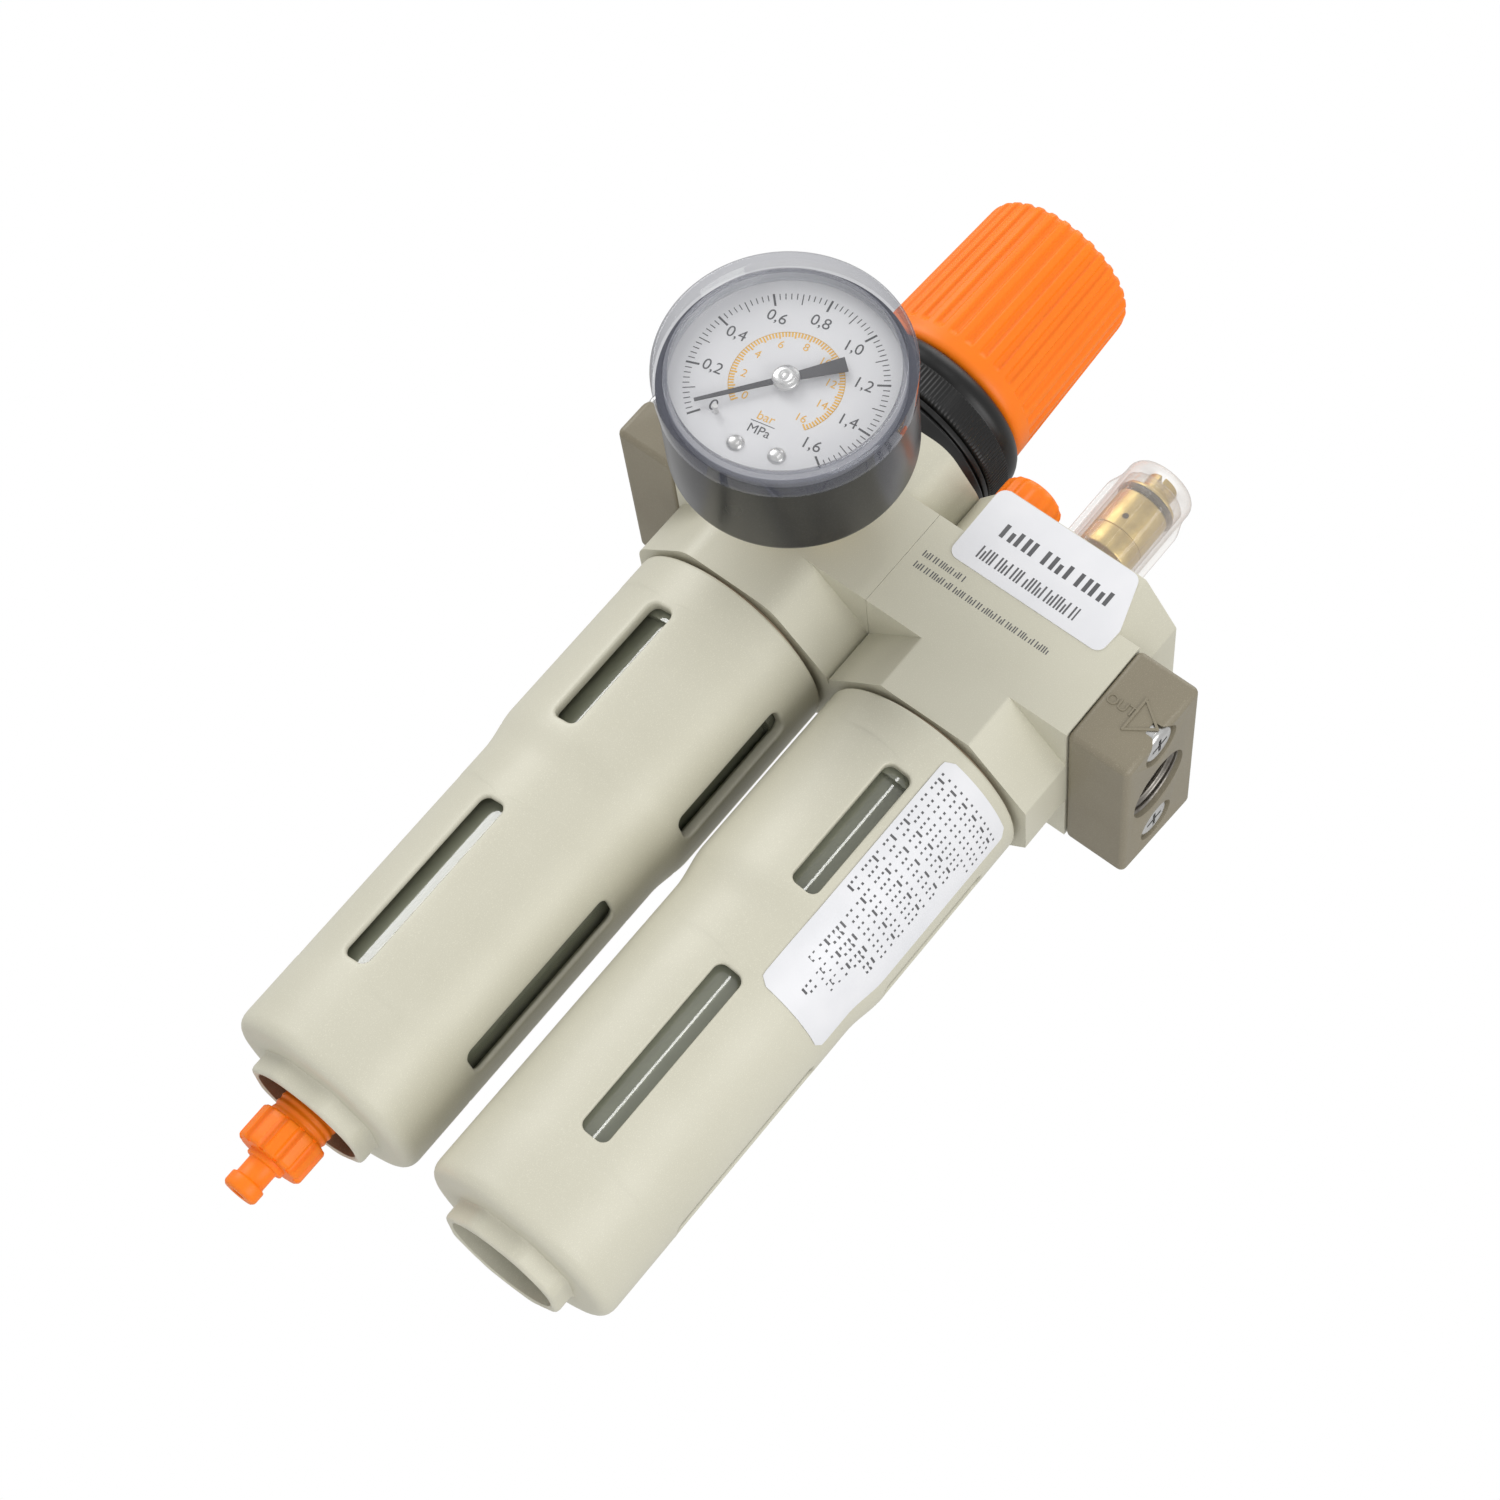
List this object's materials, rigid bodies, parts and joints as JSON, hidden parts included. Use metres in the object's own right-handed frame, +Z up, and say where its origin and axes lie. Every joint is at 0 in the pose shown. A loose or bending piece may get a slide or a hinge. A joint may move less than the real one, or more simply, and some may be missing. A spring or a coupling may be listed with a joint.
{
  "type": "filter regulator lubricator",
  "caption": "Compressed-air service unit: filter regulator with gauge, knob and guarded bowl, beside a lubricator with sight dome and guarded bowl, between threaded port plates.",
  "frame": {"origin": "centre of the inlet port's mouth, on the outer face of the inlet plate", "axes": "+X with the air flow from inlet to outlet, -Y towards the front with the gauge, +Z up along the bowl and knob axes"},
  "size_m": [0.104, 0.081, 0.2118],
  "materials": {
    "cream_paint": "warm cream satin paint on die-cast metal",
    "taupe_metal": "taupe grey satin coated die-cast metal",
    "zinc": "bright zinc plated steel",
    "rubber": "black nitrile rubber",
    "orange_plastic": "orange moulded plastic, satin",
    "black_plastic": "black moulded plastic, matte",
    "clear_bowl": "clear polycarbonate",
    "clear_dome": "clear polycarbonate, faintly amber",
    "white_filter": "sintered white polyethylene",
    "grey_plastic": "dark grey moulded plastic",
    "brass": "turned brass",
    "spring_steel": "drawn spring steel wire",
    "gauge_case": "dark grey metallic case",
    "gauge_lens": "clear acrylic",
    "dial_white": "white printed dial sheet",
    "pointer_black": "black painted aluminium",
    "label_white": "white printed vinyl"
  },
  "bodies": {
    "body": {"filter_regulator_housing": "cream_paint", "lubricator_housing": "cream_paint", "inlet_plate": "taupe_metal", "outlet_plate": "taupe_metal", "plate_screws": "zinc", "module_studs": "zinc", "port_seals": "rubber", "valve_guide": "grey_plastic", "swirl_vane": "grey_plastic", "filter_element": "white_filter", "filter_baffle": "grey_plastic", "valve_spring": "spring_steel", "diaphragm": "rubber", "regulator_bonnet": "black_plastic", "panel_nut": "black_plastic", "regulating_spring": "spring_steel", "gauge_case": "gauge_case", "gauge_lens": "gauge_lens", "gauge_dial": "dial_white", "gauge_socket": "brass", "bourdon_tube": "brass", "gauge_movement": "brass", "dial_rivets": "zinc", "pointer_stop_pin": "zinc", "siphon_tube": "clear_bowl", "sight_dome": "clear_dome", "sight_dome_washer": "rubber", "drip_seat": "brass", "front_label": "label_white"},
    "spindle": {"adjusting_spindle": "zinc"},
    "knob": {"pressure_knob": "orange_plastic"},
    "spring_plate": {"spring_plate": "zinc"},
    "valve": {"valve_poppet": "brass", "diaphragm_disc": "grey_plastic"},
    "filter_bowl": {"filter_bowl": "clear_bowl", "filter_bowl_seal": "rubber"},
    "filter_guard": {"filter_guard": "cream_paint"},
    "drain_seal": {"drain_seal": "rubber"},
    "drain": {"drain_screw": "orange_plastic"},
    "lubricator_bowl": {"lubricator_bowl": "clear_bowl", "lubricator_bowl_seal": "rubber"},
    "lubricator_guard": {"lubricator_guard": "cream_paint", "guard_label": "label_white"},
    "needle_seal": {"needle_seal": "rubber"},
    "needle": {"needle_screw": "brass"},
    "plug_seal": {"filler_plug_seal": "rubber"},
    "filler_plug": {"filler_plug": "orange_plastic"},
    "pointer": {"gauge_pointer": "pointer_black"},
    "sector": {"sector_gear": "brass"},
    "check_ball": {"siphon_check_ball": "zinc"},
    "flow_flap": {"flow_flap": "grey_plastic"}
  },
  "joints": [
    {"name": "knob_turn", "type": "hinge", "parent": "body", "child": "spindle", "pos_m": [0.032, 0, 0.05], "axis": [0, 0, 1], "range_deg": [-2880, 0]},
    {"name": "knob_lift", "type": "slide", "parent": "spindle", "child": "knob", "axis": [0, 0, 1], "range_m": [0, 0.0025]},
    {"name": "spring_plate_travel", "type": "slide", "parent": "body", "child": "spring_plate", "axis": [0, 0, 1], "range_m": [-0.012, 0], "deforming": ["regulating_spring"]},
    {"name": "valve_open", "type": "slide", "parent": "body", "child": "valve", "axis": [0, 0, 1], "range_m": [-0.0008, 0], "stiffness_N_per_m": 1500, "springref_m": 0.0008, "deforming": ["valve_spring", "diaphragm"]},
    {"name": "filter_bowl_drop", "type": "slide", "parent": "body", "child": "filter_bowl", "axis": [0, 0, 1], "range_m": [-0.006, 0]},
    {"name": "filter_guard_turn", "type": "hinge", "parent": "filter_bowl", "child": "filter_guard", "pos_m": [0.032, 0, -0.07], "axis": [0, 0, 1], "range_deg": [-1080, 0]},
    {"name": "drain_drop", "type": "slide", "parent": "filter_bowl", "child": "drain_seal", "axis": [0, 0, 1], "range_m": [-0.0025, 0]},
    {"name": "drain_turn", "type": "hinge", "parent": "drain_seal", "child": "drain", "pos_m": [0.032, 0, -0.13], "axis": [0, 0, 1], "range_deg": [-720, 0]},
    {"name": "lubricator_bowl_drop", "type": "slide", "parent": "body", "child": "lubricator_bowl", "axis": [0, 0, 1], "range_m": [-0.006, 0]},
    {"name": "lubricator_guard_turn", "type": "hinge", "parent": "lubricator_bowl", "child": "lubricator_guard", "pos_m": [0.072, 0, -0.07], "axis": [0, 0, 1], "range_deg": [-1080, 0]},
    {"name": "needle_rise", "type": "slide", "parent": "body", "child": "needle_seal", "axis": [0, 0, 1], "range_m": [0, 0.0012]},
    {"name": "needle_turn", "type": "hinge", "parent": "needle_seal", "child": "needle", "pos_m": [0.072, 0, 0.035], "axis": [0, 0, 1], "range_deg": [0, 720]},
    {"name": "plug_rise", "type": "slide", "parent": "body", "child": "plug_seal", "axis": [0, 0, 1], "range_m": [0, 0.006]},
    {"name": "plug_turn", "type": "hinge", "parent": "plug_seal", "child": "filler_plug", "pos_m": [0.059, -0.0072, 0.024], "axis": [0, 0, 1], "range_deg": [0, 1440]},
    {"name": "pointer_turn", "type": "hinge", "parent": "body", "child": "pointer", "pos_m": [0.032, -0.054, -0.0006], "axis": [0, 1, 0], "range_deg": [-5, 264]},
    {"name": "sector_turn", "type": "hinge", "parent": "body", "child": "sector", "pos_m": [0.03393, -0.044, -0.0097], "axis": [0, 1, 0], "range_deg": [-40.5, 1.5]},
    {"name": "check_ball_lift", "type": "slide", "parent": "body", "child": "check_ball", "axis": [0, 0, 1], "range_m": [0, 0.002]},
    {"name": "flow_flap_swing", "type": "hinge", "parent": "body", "child": "flow_flap", "pos_m": [0.069, 0, 0.0052], "axis": [0, 1, 0], "range_deg": [-40, 0], "stiffness_Nm_per_rad": 0.002}
  ],
  "couplings": [
    {"joint": "knob_turn", "follows": "spring_plate_travel", "rad_per_m": 4188.8},
    {"joint": "filter_guard_turn", "follows": "filter_bowl_drop", "rad_per_m": 3141.6},
    {"joint": "drain_turn", "follows": "drain_drop", "rad_per_m": 5026.5},
    {"joint": "lubricator_guard_turn", "follows": "lubricator_bowl_drop", "rad_per_m": 3141.6},
    {"joint": "needle_turn", "follows": "needle_rise", "rad_per_m": 10472},
    {"joint": "plug_turn", "follows": "plug_rise", "rad_per_m": 4188.8},
    {"joint": "sector_turn", "follows": "pointer_turn", "ratio": -0.15}
  ]
}
